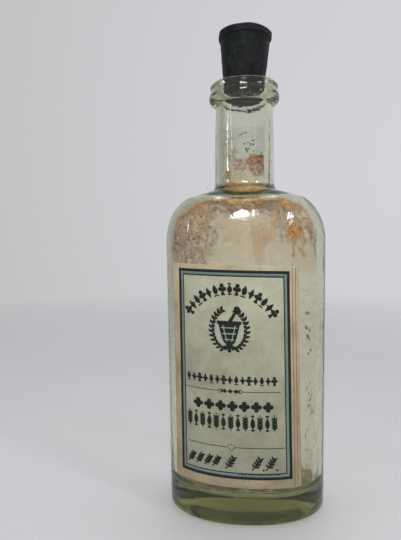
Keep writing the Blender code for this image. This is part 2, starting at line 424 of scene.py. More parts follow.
def inner_rings():
    """The mouth, and the bore and the cavity below it, from the top down."""
    edge = MOUTH_EDGE_RADIUS
    mouth = round_arc(GLASS_HEIGHT - edge, MOUTH_RADIUS + edge, edge, edge, 90, 180, 6)
    taper = ring(TAPER_BOTTOM, BORE_RADIUS)
    foot = ring(NECK_FILLET_TOP - WALL, BORE_RADIUS)
    rise = NECK_FILLET_TOP - CROWN_HEIGHT - WALL + CROWN_WALL
    rounding = round_arc(foot[0], BORE_RADIUS + WALL, rise, WALL, 180, INNER_FOOT_TURN, 8)
    shoulder = shoulder_rings(WALL, CROWN_HEIGHT - CROWN_WALL, SHOULDER_TURN, 0)
    floor_center = base_ring(FLOOR_THICKNESS + INNER_HEEL_RADIUS, WALL + INNER_HEEL_RADIUS)
    floor = arc_rings(floor_center, (INNER_HEEL_RADIUS,) * 3, 0, -90, HEEL_STEPS)
    bore = [taper] + line_rings(taper, foot, NECK_STEPS)
    ceiling = line_rings(rounding[-1], shoulder[0], 5)
    sides = line_rings(shoulder[-1], floor[0], SIDE_STEPS)
    inward = shrunk_rings(floor[-1], (0.85, 0.6, 0.35, 0.12))
    return mouth, bore + rounding + ceiling + shoulder + sides + floor + inward


def roundness_at(half_width, half_depth):
    """Plain ovals where the glass is round, and the body's fuller oval where it is wide."""
    widest = BODY_HALF_WIDTH / BODY_HALF_DEPTH - 1
    share = min(1.0, max(0.0, (half_width / half_depth - 1) / widest * 2))
    return mix(PLAIN_OVAL, BODY_ROUNDNESS, share)


def outer_point(height, half_width, half_depth, angle):
    """A point of the outside, with the mould seams down both sides and slight waves."""
    x, y = oval_point(half_width, half_depth, roundness_at(half_width, half_depth), angle)
    wave = OUTER_WAVE * noise.noise(Vector((x, y, height * 0.6)) * 90)
    on_seam = math.exp(-((math.sin(angle) * half_depth / SEAM_WIDTH) ** 2))
    seam = SEAM_HEIGHT * on_seam * smooth_step(HEEL_RADIUS, 2 * HEEL_RADIUS, height)
    seam *= 1 - smooth_step(BEAD_BOTTOM - 6 * MM, BEAD_BOTTOM - 3 * MM, height)
    out = Vector((x / half_width, y / half_depth, 0))
    flat = smooth_step(0.0, HEEL_RADIUS, height) * (1 - smooth_step(BEAD_BOTTOM - MM, BEAD_BOTTOM, height))
    return Vector((x, y, height)) + out * (wave + seam) * flat


def inner_point(height, half_width, half_depth, angle):
    """A point of the inside, whose wall and floor are of uneven thickness."""
    x, y = oval_point(half_width, half_depth, roundness_at(half_width, half_depth), angle)
    amount = INNER_WAVE * (1 - smooth_step(NECK_FILLET_TOP, TAPER_BOTTOM, height))
    wave = amount * noise.noise(Vector((x, y, height * 0.22)) * 62 + Vector((3.1, 0, 7.7)))
    wave += amount * INNER_STREAKS * noise.noise(Vector((x, y, height * 0.08)) * 230)
    out = Vector((x / half_width, y / half_depth, 0))
    low = 1 - smooth_step(FLOOR_THICKNESS, FLOOR_THICKNESS + 2 * INNER_HEEL_RADIUS, height)
    tilt = FLOOR_WAVE * noise.noise(Vector((x * 60, y * 60, 2.4)))
    return Vector((x, y, height + low * tilt)) + out * wave


def loop_of(bm, point_at, ring_size, around):
    points = [point_at(*ring_size, 2 * math.pi * index / around) for index in range(around)]
    return [bm.verts.new(point + Vector((0, AXIS_Y, 0))) for point in points]


# Edges that bend by more degrees than this look sharp: on solids, and on sheets and flakes.
SOLID_SHARP = 45
SHEET_SHARP = 80


def in_turn(items):
    """Each item with the one after it, and the last with the first."""
    return zip(items, items[1:] + items[:1])


def skin(bm, loops):
    """Joins each loop to the next one with four-sided faces."""
    for lower, upper in zip(loops, loops[1:]):
        for (a, b), (d, c) in zip(in_turn(lower), in_turn(upper)):
            bm.faces.new((a, b, c, d))


def cap(bm, loop, facing_up):
    """Closes a loop with a fan of triangles."""
    center = sum((vert.co for vert in loop), Vector()) / len(loop)
    hub = bm.verts.new(center)
    for vert, following in in_turn(loop):
        bm.faces.new((vert, following, hub) if facing_up else (following, vert, hub))


def close_skin(bm, loops):
    skin(bm, loops)
    cap(bm, loops[0], False)
    cap(bm, loops[-1], True)


def finish_mesh(bm, name, material, sharp=SOLID_SHARP):
    """Turns a mesh under way into an object."""
    mesh = bpy.data.meshes.new(name)
    bm.to_mesh(mesh)
    bm.free()
    mesh.shade_smooth()
    mesh.set_sharp_from_angle(angle=math.radians(sharp))
    mesh.materials.append(material)
    obj = bpy.data.objects.new(name, mesh)
    bpy.context.scene.collection.objects.link(obj)
    return obj


def make_glass():
    bm = bmesh.new()
    loops = [loop_of(bm, outer_point, size, AROUND) for size in outer_rings()]
    mouth, cavity = inner_rings()
    loops += [loop_of(bm, inner_point, size, AROUND) for size in mouth[1:] + cavity]
    close_skin(bm, loops)
    glass = finish_mesh(bm, "bottle_glass_wall", glass_material())
    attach(glass, "bottle")
    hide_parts("glass_bottle")


# --- the stopper


def stopper_point(height, half_width, half_depth, angle):
    """A point of the rubber bung, dented and worn a little, more so at its rim."""
    x = half_width * math.cos(angle)
    y = half_depth * math.sin(angle)
    place = Vector((x, y, height))
    out = Vector((math.cos(angle), math.sin(angle), 0))
    wear = 0.16 * MM * noise.noise(place * 300) + 0.07 * MM * noise.noise(place * 900)
    rim = smooth_step(STOPPER_TOP - 3 * MM, STOPPER_TOP - MM, height)
    nick = 0.18 * MM * rim * noise.noise(place * 420 + Vector((5, 1, 2)))
    sag = 0.20 * MM * rim * noise.noise(place * 140)
    return place + out * (wear * 0.6 + nick) + Vector((0, 0, sag))


def stopper_rings():
    """The bung, from the middle of its lower end to the middle of its slightly dished top."""
    edge = STOPPER_EDGE
    rim_bottom = STOPPER_TOP - STOPPER_RIM_HEIGHT
    inside = shrunk_rings(ring(STOPPER_BOTTOM, STOPPER_BOTTOM_RADIUS - edge), (0.2, 0.5, 0.8))
    foot = round_arc(STOPPER_BOTTOM + edge, STOPPER_BOTTOM_RADIUS - edge, edge, edge, -90, 0, 6)
    waist = ring(rim_bottom - edge, STOPPER_TOP_RADIUS)
    under_rim = round_arc(rim_bottom, STOPPER_TOP_RADIUS + edge * 0.6, edge / 2, edge / 2, 250, 290, 4)
    rim = round_arc(STOPPER_TOP - edge, STOPPER_RIM_RADIUS - edge, edge, edge, 0, 90, 7)
    top = []
    for share in (0.94, 0.86, 0.7, 0.5, 0.3, 0.12):
        top.append(ring(STOPPER_TOP - STOPPER_DISH * (1 - share), (STOPPER_RIM_RADIUS - edge) * share))
    rings = inside + foot + line_rings(foot[-1], waist, 40) + [waist]
    return rings + under_rim + line_rings(under_rim[-1], rim[0], 4) + rim + top


def make_stopper():
    bm = bmesh.new()
    close_skin(bm, [loop_of(bm, stopper_point, size, STOPPER_AROUND) for size in stopper_rings()])
    pivot = Vector((0, AXIS_Y, GLASS_HEIGHT))
    lean = Matrix.Translation(pivot) @ Matrix.Rotation(STOPPER_LEAN, 4, "Y") @ Matrix.Translation(-pivot)
    bm.transform(lean)
    stopper = finish_mesh(bm, "stopper_bung", rubber_material())
    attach(stopper, "stopper")
    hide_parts("rubber_stopper")


# --- the label


SIDE_MARGIN = 0.02
FRONT_POINTS = 1600


def front_table():
    """Angles round the front, with the length along the glass to each, and how far across each lies."""
    angles = np.linspace(-math.pi + SIDE_MARGIN, -SIDE_MARGIN, FRONT_POINTS)
    half_width = mix(BASE_HALF_WIDTH, BODY_HALF_WIDTH, 0.5)
    half_depth = mix(BASE_HALF_DEPTH, BODY_HALF_DEPTH, 0.5)
    points = np.array([oval_point(half_width, half_depth, BODY_ROUNDNESS, angle) for angle in angles])
    steps = np.hypot(*np.diff(points, axis=0).T)
    length = np.concatenate(([0.0], np.cumsum(steps)))
    middle = np.interp(-math.pi / 2, angles, length)
    return angles, length - middle, points[:, 0]


ANGLES, LENGTHS, ACROSS = front_table()


def along_front(x):
    """The length along the paper from the middle line to this x."""
    return float(np.interp(x, ACROSS, LENGTHS))


PAPER_LEFT = along_front(LABEL_LOW.x)
PAPER_RIGHT = along_front(LABEL_HIGH.x)


def paper_lift(s, z):
    """How far the paper's face stands off the glass: faint cockles, and lifted corners."""
    cockle = PAPER_COCKLE * noise.noise(Vector((s, z, 0.0)) * 130)
    from_side = min(s - PAPER_LEFT, PAPER_RIGHT - s)
    from_end = min(z - LABEL_LOW.z, LABEL_HIGH.z - z)
    corner = math.exp(-(from_side + from_end) / CORNER_REACH)
    return PAPER_FRONT + cockle + CORNER_LIFT * min(1.0, corner)


def on_front(s, z, rise):
    """A point of the front, by length along the paper, height, and rise off the paper's face."""
    middle = (PAPER_LEFT + PAPER_RIGHT) / 2
    height = z + LABEL_SLOPE * (s - middle)
    flare = 1 + LABEL_FLARE * (LABEL_HIGH.z - z) / (LABEL_HIGH.z - LABEL_LOW.z)
    skewed = middle + (s - middle) * flare + LABEL_SKEW * (LABEL_LOW.z / 2 + LABEL_HIGH.z / 2 - z)
    angle = float(np.interp(skewed, LENGTHS, ANGLES))
    share = height / SHOULDER_START
    offset = paper_lift(s, z) + rise
    half_width = mix(BASE_HALF_WIDTH, BODY_HALF_WIDTH, share) + offset
    half_depth = mix(BASE_HALF_DEPTH, BODY_HALF_DEPTH, share) + offset
    x, y = oval_point(half_width, half_depth, BODY_ROUNDNESS, angle)
    return Vector((x, y + AXIS_Y, height))


def wrap_on_front(bm, rise):
    """Bends a flat mesh drawn in paper lengths (x along, y up) round the glass."""
    for vert in bm.verts:
        vert.co = on_front(vert.co.x, vert.co.y, rise)


def thicken(obj, thickness):
    """Gives a sheet its thickness, inward from its face."""
    solid = obj.modifiers.new("thickness", "SOLIDIFY")
    solid.thickness = thickness
    solid.offset = -1.0
    solid.use_even_offset = False


def make_paper():
    """The sheet, cut finely so that it bends, with slightly ragged edges."""
    columns, rows = 150, 220
    bm = bmesh.new()
    grid = []
    for row in range(rows + 1):
        line = []
        for column in range(columns + 1):
            s = mix(PAPER_LEFT, PAPER_RIGHT, column / columns)
            z = mix(LABEL_LOW.z, LABEL_HIGH.z, row / rows)
            if column in (0, columns):
                s += PAPER_EDGE_STRAY * noise.noise(Vector((s, z, 1.0)) * 500)
            if row in (0, rows):
                z += PAPER_EDGE_STRAY * noise.noise(Vector((s, z, 2.0)) * 500)
            line.append(bm.verts.new((s, z, 0)))
        grid.append(line)
    for lower, upper in zip(grid, grid[1:]):
        for column in range(columns):
            bm.faces.new((lower[column], lower[column + 1], upper[column + 1], upper[column]))
    wrap_on_front(bm, 0.0)
    tones = ((0.60, 0.50, 0.335), (0.50, 0.41, 0.265), (0.37, 0.29, 0.18), (0.28, 0.15, 0.07))
    paper = finish_mesh(bm, "label_sheet", paper_material("label_paper_margin", *tones), SHEET_SHARP)
    thicken(paper, PAPER_THICKNESS)
    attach(paper, "bottle")
    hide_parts("front_label")


class Print:
    """One ink of the label's print, drawn flat in millimetres on the paper and then wrapped on it."""

    def __init__(self, name, material, layer):
        self.name = name
        self.material = material
        self.layer = layer
        self.bm = bmesh.new()
        self.at(0, 0)

    def at(self, x, y, turn=0.0):
        """Places what is drawn next: its origin, and how far it is turned, in degrees."""
        spin = Matrix.Rotation(math.radians(turn), 3, "Z")
        self.local = lambda point: spin @ Vector((*point, 0)) + Vector((x, y, 0))

    def polygon(self, points):
        verts = [self.bm.verts.new(self.local(point) * MM) for point in points]
        if sum(ax * by - bx * ay for (ax, ay), (bx, by) in in_turn(points)) < 0:
            verts.reverse()
        self.bm.faces.new(verts)

    def box(self, left, bottom, right, top):
        self.polygon([(left, bottom), (right, bottom), (right, top), (left, top)])

    def stroke(self, points, widths):
        """A pen stroke: widths is one width, or one for each point."""
        if not isinstance(widths, (list, tuple)):
            widths = [widths] * len(points)
        sides = []
        for index, (x, y) in enumerate(points):
            ahead = points[min(index + 1, len(points) - 1)]
            behind = points[max(index - 1, 0)]
            along = Vector((ahead[0] - behind[0], ahead[1] - behind[1])).normalized()
            half = widths[index] / 2
            sides.append(((x - along.y * half, y + along.x * half), (x + along.y * half, y - along.x * half)))
        for (a, b), (c, d) in zip(sides, sides[1:]):
            self.polygon([b, d, c, a])

    def disc(self, x, y, radius, sides=14):
        angles = [2 * math.pi * index / sides for index in range(sides)]
        self.polygon([(x + radius * math.cos(angle), y + radius * math.sin(angle)) for angle in angles])

    def lozenge(self, x, y, half_width, half_height):
        self.polygon([(x - half_width, y), (x, y - half_height), (x + half_width, y), (x, y + half_height)])

    def leaf(self, x, y, angle, length, width, steps=7):
        """A pointed oval from (x, y) in the direction of the angle, in degrees."""
        turn = math.radians(angle)
        ahead = (math.cos(turn), math.sin(turn))
        upper, lower = [], []
        for step in range(steps + 1):
            share = step / steps
            swell = width / 2 * math.sin(math.pi * share ** 0.8)
            px = x + ahead[0] * length * share
            py = y + ahead[1] * length * share
            upper.append((px - ahead[1] * swell, py + ahead[0] * swell))
            lower.append((px + ahead[1] * swell, py - ahead[0] * swell))
        self.polygon(lower[:-1] + upper[:0:-1])

    def cut(self, low, high, step, normal):
        """Cuts the print into strips, so that it can bend with the paper."""
        count = int((high - low) / step)
        for index in range(1, count):
            place = normal * mix(low, high, index / count)
            everything = self.bm.verts[:] + self.bm.edges[:] + self.bm.faces[:]
            bmesh.ops.bisect_plane(self.bm, geom=everything, dist=NEAR, plane_co=place, plane_no=normal)

    def lay(self):
        """Bends the finished print round the bottle, on the paper."""
        self.cut(PAPER_LEFT, PAPER_RIGHT, STRIP_WIDTH, Vector((1, 0, 0)))
        self.cut(LABEL_LOW.z, LABEL_HIGH.z, STRIP_HEIGHT, Vector((0, 1, 0)))
        wrap_on_front(self.bm, INK_STEP * self.layer)
        obj = finish_mesh(self.bm, self.name, self.material, SHEET_SHARP)
        thicken(obj, INK_THICKNESS)
        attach(obj, "bottle")


# Where the print lies, in millimetres: x along the paper from the middle line, y above the table.
FRAME_LEFT = along_front(-17.8 * MM) / MM
FRAME_RIGHT = along_front(11.3 * MM) / MM
FRAME_BOTTOM = 13.8
FRAME_TOP = 69.9
PRINT_MIDDLE = along_front(-4.5 * MM) / MM
BLACK_LINE = 0.75
BLUE_BAND = 0.72
THIN_LINE = 0.28
TEXT_LEFT = along_front(-16.1 * MM) / MM
TEXT_RIGHT = along_front(7.7 * MM) / MM


def frame_lines(ink, inset, width):
    """A rectangular line inside the frame's outer edge, of four mitred sides."""
    left, right = FRAME_LEFT + inset, FRAME_RIGHT - inset
    bottom, top = FRAME_BOTTOM + inset, FRAME_TOP - inset
    outer = [(left, bottom), (right, bottom), (right, top), (left, top)]
    low, high = bottom + width, top - width
    inner = [(left + width, low), (right - width, low), (right - width, high), (left + width, high)]
    for (a, b), (d, c) in zip(in_turn(outer), in_turn(inner)):
        ink.polygon([a, b, c, d])


def print_ground():
    inset = BLACK_LINE / 2
    tones = ((0.50, 0.505, 0.375), (0.43, 0.43, 0.315), (0.35, 0.345, 0.245), (0.36, 0.28, 0.17))
    ground = Print("label_ground_tint", paper_material("sage_print_ground", *tones), 1)
    ground.box(FRAME_LEFT + inset, FRAME_BOTTOM + inset, FRAME_RIGHT - inset, FRAME_TOP - inset)
    ground.lay()


def print_band():
    blue = ink_material("teal_band_ink", (0.155, 0.22, 0.205), (0.31, 0.34, 0.28), 0.08)
    band = Print("label_blue_band", blue, 2)
    frame_lines(band, BLACK_LINE - 0.1, BLUE_BAND + 0.1)
    band.lay()


def print_border(ink):
    frame_lines(ink, 0.0, BLACK_LINE)
    frame_lines(ink, BLACK_LINE + BLUE_BAND, THIN_LINE)


def lozenge_mark(ink, width, height):
    """A tall lozenge with a dot on either side."""
    ink.lozenge(0, 0, width * 0.36, height / 2)
    for side in (-1, 1):
        ink.disc(side * width * 0.42, 0, 0.20, sides=8)


def trefoil_mark(ink, width, height):
    """Three round lobes on a flared stem."""
    lobe = width * 0.30
    ink.disc(0, height / 2 - lobe, lobe, sides=12)
    for side in (-1, 1):
        ink.disc(side * width * 0.27, height * 0.02, lobe, sides=12)
    ink.polygon([(-width * 0.30, -height / 2), (width * 0.30, -height / 2), (0.10, 0.1), (-0.10, 0.1)])


def flame_mark(ink, width, height):
    """A drop that stands on a short bar."""
    ink.leaf(0, -height * 0.36, 90, height * 0.86, width * 0.72)
    ink.box(-width * 0.36, -height / 2, width * 0.36, -height * 0.39)


def flower_mark(ink, width, height):
    """Four petals and a leaf out to each side."""
    reach = height * 0.27
    for turn in (0, 90, 180, 270):
        angle = math.radians(turn)
        ink.disc(reach * math.cos(angle), reach * math.sin(angle), height * 0.205, sides=12)
    ink.disc(0, 0, height * 0.17, sides=10)
    for turn in (0, 180):
        ink.leaf(0, 0, turn, width * 0.52, height * 0.22)


def wheat_mark(ink, width, height):
    """An ear: a stem with leaves in pairs."""
    foot = -height / 2
    ink.stroke([(0, foot), (0, height / 2)], 0.24)
    pairs = 4
    for index in range(pairs):
        y = foot + height * (0.10 + 0.72 * index / pairs)
        for side in (-1, 1):
            ink.leaf(0, y, 90 - side * 34, height * 0.30, width * 0.34)


def spindle_mark(ink, width, height):
    """A tall pointed oval between two small lozenges."""
    ink.leaf(0, -height * 0.36, 90, height * 0.72, width * 0.72)
    for side in (-1, 1):
        ink.lozenge(0, side * height * 0.43, width * 0.36, height * 0.085)


def mark_row(ink, left, right, y, marks, width, height):
    for index, mark in enumerate(marks):
        ink.at(mix(left, right, (index + 0.5) / len(marks)), y)
        mark(ink, width, height)
    ink.at(0, 0)


def print_arch(ink):
    """Bold marks set along an arch, over the emblem, alike on both sides of its top."""
    center_x, center_y = PRINT_MIDDLE + 0.3, 51.6
    radius = 13.3
    first, last = 148, 32
    marks = [trefoil_mark, lozenge_mark, flame_mark]
    count = 15
    for index in range(count):
        degrees = mix(first, last, index / (count - 1))
        angle = math.radians(degrees)
        ink.at(center_x + radius * math.cos(angle), center_y + radius * math.sin(angle), degrees - 90)
        mark = spindle_mark if index == count // 2 else marks[min(index, count - 1 - index) % len(marks)]
        mark(ink, 1.9, 3.2)
    ink.at(0, 0)


def bowl_half_width(share):
    """The mortar's outline, from its foot at 0 to its rim at 1."""
    return mix(1.25, 2.85, share ** 0.75)


def print_emblem(ink, tint):
    """A mortar and pestle in a dense wreath."""
    x, foot = PRINT_MIDDLE, 48.9
    height = 5.2
    left, right = [], []
    for step in range(9):
        share = step / 8
        y = foot + 1.5 + height * share
        left.append((x - bowl_half_width(share), y))
        right.append((x + bowl_half_width(share), y))
    ink.polygon(left[::-1] + right)
    ink.box(x - 3.2, foot + 6.6, x + 3.2, foot + 7.5)
    ink.box(x - 0.9, foot + 0.7, x + 0.9, foot + 1.6)
    ink.polygon([(x - 2.4, foot), (x + 2.4, foot), (x + 1.3, foot + 0.9), (x - 1.3, foot + 0.9)])
    ink.stroke([(x + 0.2, foot + 7.3), (x + 1.9, foot + 10.2)], [1.0, 0.6])
    ink.disc(x + 2.1, foot + 10.6, 0.85)
    for share, width in ((0.20, 0.26), (0.50, 0.30), (0.80, 0.26)):
        y = foot + 1.5 + height * share
        half = bowl_half_width(share) - 0.45
        tint.box(x - half, y - width / 2, x + half, y + width / 2)
    for side in (-1, 1):
        tint.stroke([(x + side * 0.6, foot + 2.0), (x + side * 1.6, foot + 6.3)], 0.24)
        stem = []
        for step in range(13):
            bend = math.radians(mix(-82, 62, step / 12))
            stem.append((x + side * 4.5 * math.cos(bend), foot + 5.3 + 5.6 * math.sin(bend)))
        ink.stroke(stem, 0.3)
        for step, (px, py) in enumerate(stem[1:]):
            heading = mix(10, 150, step / 11)
            for spread in (-42, 42):
                turn = heading + spread
                ink.leaf(px, py, turn if side > 0 else 180 - turn, 1.35, 0.74)
    ink.disc(x, foot - 0.4, 0.5)


def print_upper_row(ink):
    marks = [flame_mark, lozenge_mark, trefoil_mark, lozenge_mark] * 4
    mark_row(ink, TEXT_LEFT, TEXT_RIGHT, 40.6, marks[:15], 1.45, 2.5)


def print_upper_rule(ink):
    """A fine line, broken in the middle by lozenges and leaves."""
    y = 37.6
    half = 3.1
    ink.stroke([(TEXT_LEFT - 0.4, y), (PRINT_MIDDLE - half, y)], 0.16)
    ink.stroke([(PRINT_MIDDLE + half, y), (TEXT_RIGHT + 0.8, y)], 0.16)
    for offset in (-1.5, 0.0, 1.5):
        ink.lozenge(PRINT_MIDDLE + offset, y, 0.72, 0.62)
    for side, heading in ((-1, 180), (1, 0)):
        for spread in (32 * side, -32 * side):
            ink.leaf(PRINT_MIDDLE + side * 1.9, y, heading + spread, 1.2, 0.4)
        ink.disc(PRINT_MIDDLE + side * half, y, 0.24, sides=10)


def print_lower_rows(ink):
    mark_row(ink, TEXT_LEFT + 2.0, TEXT_RIGHT - 1.0, 33.6, [flower_mark] * 7, 2.9, 3.0)
    marks = [wheat_mark, spindle_mark] * 6 + [wheat_mark]
    mark_row(ink, TEXT_LEFT, TEXT_RIGHT, 29.2, marks, 1.7, 4.4)


def print_lower_rule(ink):
    """A fine line that dips to a point under three dots."""
    y = 22.4
    x = PRINT_MIDDLE
    ink.stroke([(FRAME_LEFT + 2.4, y), (x - 1.0, y), (x, y - 1.0), (x + 1.0, y)], 0.18)
    ink.stroke([(x + 1.0, y), (FRAME_RIGHT - 2.0, y)], 0.18)
    for offset in (-0.75, 0.0, 0.75):
        ink.disc(x + offset, y + 0.75 - abs(offset) * 0.3, 0.17, sides=8)


def sprig(ink, x, y, height):
    """A slanting, bending sprig with leaves on both sides."""
    slant = 22
    ink.at(x, y, -slant)
    stem, widths = [], []
    for step in range(11):
        share = step / 10
        stem.append((0.30 * height * (share - 0.5) * abs(share - 0.5) * 2, height * (share - 0.5)))
        widths.append(0.20 + 0.26 * math.sin(math.pi * share))
    ink.stroke(stem, widths)
    for step in (2, 4, 6, 8):
        for side in (-1, 1):
            ink.leaf(*stem[step], 90 - side * mix(70, 35, step / 10), height * 0.34, 0.62)
    ink.disc(*stem[0], 0.26, sides=10)
    ink.at(0, 0)


def print_sprigs(ink):
    y = 18.2
    for x in (TEXT_LEFT + 1.4, TEXT_LEFT + 3.8, TEXT_LEFT + 6.2, TEXT_LEFT + 8.4):
        sprig(ink, x, y, 3.1)
    sprig(ink, PRINT_MIDDLE - 0.2, y, 3.8)
    for x in (TEXT_RIGHT - 5.6, TEXT_RIGHT - 2.0):
        sprig(ink, x, y, 3.8)
        ink.disc(x + 1.6, y - 1.7, 0.28, sides=10)


def print_dashes(ink):
    count = 15
    for index in range(count):
        x = mix(PRINT_MIDDLE + 2.0, TEXT_RIGHT, index / (count - 1))
        length = 0.26 if index % 3 else 0.14
        ink.box(x - length, 15.05, x + length, 15.45)


def print_margin_lines():
    brown = ink_material("brown_margin_ink", (0.23, 0.125, 0.065), (0.42, 0.32, 0.20), 0.12)
    lines = Print("label_margin_lines", brown, 1)
    for x in (12.05, 12.85):
        along = along_front(x * MM) / MM
        lines.box(along - 0.11, LABEL_LOW.z / MM + 0.3, along + 0.11, LABEL_HIGH.z / MM - 0.4)
    lines.lay()


def make_print():
    print_ground()
    print_band()
    print_margin_lines()
    black = ink_material("black_print_ink", LINE_BLACK, (0.16, 0.17, 0.13), 0.02)
    ink = Print("label_black_print", black, 3)
    teal = ink_material("teal_tint_ink", (0.27, 0.36, 0.31), (0.36, 0.40, 0.31), 0.05)
    tint = Print("label_emblem_tint", teal, 4)
    print_border(ink)
    print_arch(ink)
    print_emblem(ink, tint)
    for draw in (print_upper_row, print_upper_rule, print_lower_rows):
        draw(ink)
    for draw in (print_lower_rule, print_sprigs, print_dashes):
        draw(ink)
    ink.lay()
    tint.lay()


# --- the residue


RESIDUE_GAP = 0.30 * MM
RESIDUE_TOP = 113.5 * MM
RESIDUE_AROUND = 380
FINE_FROM = 70 * MM
FINE_ROW = 0.24 * MM
COARSE_ROW = 0.8 * MM
FLECK_GAP = 0.28 * MM
OCHRE = (0.43, 0.21, 0.055)
OLIVE = (0.33, 0.20, 0.045)
RUST = (0.23, 0.065, 0.035)
BROWN = (0.37, 0.20, 0.125)
TAN = (0.42, 0.31, 0.18)
PURPLE = (0.21, 0.080, 0.050)
SEDIMENT = (0.085, 0.075, 0.012)
HAZE = (0.55, 0.43, 0.315)
GREY_FILM = (0.25, 0.28, 0.29)
BLACK = (0.02, 0.015, 0.015)

# Deposits lie at (x, z) in millimetres: x from the middle line, z above the table. These run along lines.
LEFT_EDGE = ((-19.0, 82.5), (-13.0, 87.2), (-7.0, 89.0), (-4.5, 91.5))
RIGHT_EDGE = ((10.5, 88.0), (14.6, 85.6), (16.8, 82.0), (17.9, 78.3))
SCUM_LINE = ((-6.1, 105.3), (-4.6, 105.9), (-2.9, 106.0), (-0.9, 107.0))


def blotch(place, scale, low, high, seed=0.0):
    """1 in patches, 0 between them."""
    value = 0.5 + 0.5 * noise.fractal(place * scale + Vector((seed, seed * 0.7, seed * 1.3)), 0.6, 2.0, 5)
    return smooth_step(low, high, value)


def spot(value, center, reach, edge=0.55):
    """1 in the middle of a spot, falling to 0 over the outer part of its reach."""
    distance = math.sqrt(sum(((v - c) / r) ** 2 for v, c, r in zip(value, center, reach)))
    return 1 - smooth_step(1 - edge, 1.0, distance)


def strayed(x, z, point, scale, amount):
    """The place (x, z), moved about so that outlines drawn there wander."""
    lost = noise.turbulence_vector(point * scale, 3, False)
    return x + lost.x * amount, z + lost.z * amount


def streak(value, points, width):
    """1 along a line through the points, falling to 0 at its width to either side."""
    place = Vector(value)
    nearest = min(
        (place - closest_on(place, Vector(a), Vector(b))).length for a, b in zip(points, points[1:])
    )
    return 1 - smooth_step(0.3, 1.0, nearest / width)


def closest_on(place, start, end):
    along = end - start
    share = (place - start).dot(along) / along.length_squared
    return start + along * min(1.0, max(0.0, share))


def front_deposits(x, z, point):
    """The front wall's deposits: colour, density, how speckled and how veined, which are 0 if left out."""
    at = strayed(x, z, point, 260, 1.1)
    ragged = blotch(point, 300, 0.30, 0.48, 7.0)
    fine = blotch(point, 420, 0.36, 0.50, 4.0)
    soft = blotch(point, 150, 0.20, 0.46, 9.0)
    grime = blotch(point, 500, 0.46, 0.56, 3.0)
    return [
        (BROWN, 0.30 * spot(at, (-14.5, 79.5), (9.0, 12.0)) * soft),
        (PURPLE, 0.92 * spot(at, (-15.5, 79.5), (9.0, 12.5)) * fine, 1.0),
        (PURPLE, 0.85 * spot(at, (-2.0, 87.2), (13.0, 3.8)) * fine, 1.0),
        (OCHRE, 0.75 * spot(at, (-3.0, 88.6), (12.0, 2.6)) * ragged, 0.8),
        (RUST, 0.60 * spot(at, (-16.5, 77.0), (5.5, 8.0)) * ragged, 0.9),
        (OCHRE, 0.60 * spot(at, (-14.0, 81.0), (7.0, 7.0)) * ragged, 0.9),
        (OCHRE, 0.85 * spot(at, (-16.0, 86.0), (3.8, 3.2)) * ragged, 0.6),
        (OCHRE, 0.85 * streak(at, LEFT_EDGE, 1.5) * ragged, 0.6),
        (BROWN, 0.60 * spot(at, (3.6, 79.4), (4.6, 5.6), 0.9) * soft, 0.15),
        (BROWN, 0.50 * spot(at, (3.0, 74.8), (2.6, 4.8), 0.9), 0.15),
        (BROWN, 0.30 * spot(at, (-3.4, 79.0), (4.0, 3.8), 0.9), 0.15),
        (OCHRE, 0.75 * spot(at, (11.5, 84.0), (6.5, 6.0)) * ragged, 0.9),
        (PURPLE, 0.70 * spot(at, (13.0, 82.0), (6.5, 8.0)) * fine, 1.0),
        (OCHRE, 0.95 * streak(at, RIGHT_EDGE, 1.5) * ragged, 0.5),
        (RUST, 0.55 * streak(at, ((12.5, 87.4), (15.6, 84.4), (17.4, 80.6)), 1.0) * fine, 0.9),
        (OCHRE, 0.90 * spot(at, (12.6, 79.8), (2.5, 2.6), 0.4) * ragged, 0.5),
        (OCHRE, 0.70 * streak(at, ((12.2, 79.0), (12.3, 73.0)), 0.8), 0.5),
        (OCHRE, 0.60 * streak(at, ((14.8, 80.0), (14.9, 73.6)), 0.7), 0.5),
        (PURPLE, 0.75 * spot(at, (19.5, 79.0), (3.0, 9.5)) * fine, 1.0),
        (PURPLE, 0.90 * spot(at, (16.6, 25.0), (1.8, 20.0)) * grime, 1.0),
    ]


def neck_deposits(x, z, point):
    """The deposits low in the neck's front."""
    at = strayed(x, z, point, 420, 1.0)
    ragged = blotch(point, 700, 0.26, 0.42, 5.0)
    soft = blotch(point, 220, 0.22, 0.50, 6.0)
    return [
        (TAN, 0.50 * spot(at, (0.9, 95.0), (3.6, 3.6), 0.9)),
        (OCHRE, 0.35 * spot(at, (-2.6, 95.6), (3.0, 3.0), 0.9)),
        (OCHRE, 0.75 * spot(at, (-4.7, 96.6), (1.6, 2.8), 0.6), 0.4),
        (OCHRE, 0.80 * spot(at, (-3.9, 92.6), (3.4, 2.4), 0.7), 0.6),
        (BROWN, 0.70 * spot(at, (-3.2, 102.2), (1.6, 2.8), 0.6) * ragged, 0.3),
        (TAN, 0.80 * streak(at, SCUM_LINE, 0.42) * ragged, 0.3),
        (TAN, 0.70 * spot(at, (-4.9, 104.9), (1.3, 1.0), 0.5) * ragged, 0.3),
        (BLACK, 0.90 * streak(at, ((-1.2, 106.6), (0.3, 107.0)), 0.26), 0.4),
        (BLACK, 0.90 * streak(at, ((0.4, 106.6), (0.7, 107.4)), 0.18), 0.4),
        (RUST, 0.85 * spot(at, (-1.2, 98.9), (2.7, 2.1), 0.35) * ragged, 0.8, 0.6),
        (RUST, 0.95 * spot(at, (3.0, 99.6), (3.0, 2.9), 0.25), 0.5, 0.7),
        (RUST, 0.90 * spot(at, (3.0, 97.4), (2.4, 2.0), 0.4) * ragged, 0.8, 0.8),
        (BLACK, 0.80 * spot(at, (4.4, 101.4), (0.8, 0.6), 0.5), 0.3),
        (OCHRE, 0.45 * spot(at, (2.4, 100.6), (1.6, 1.4), 0.6), 0.3, 0.5),
    ]


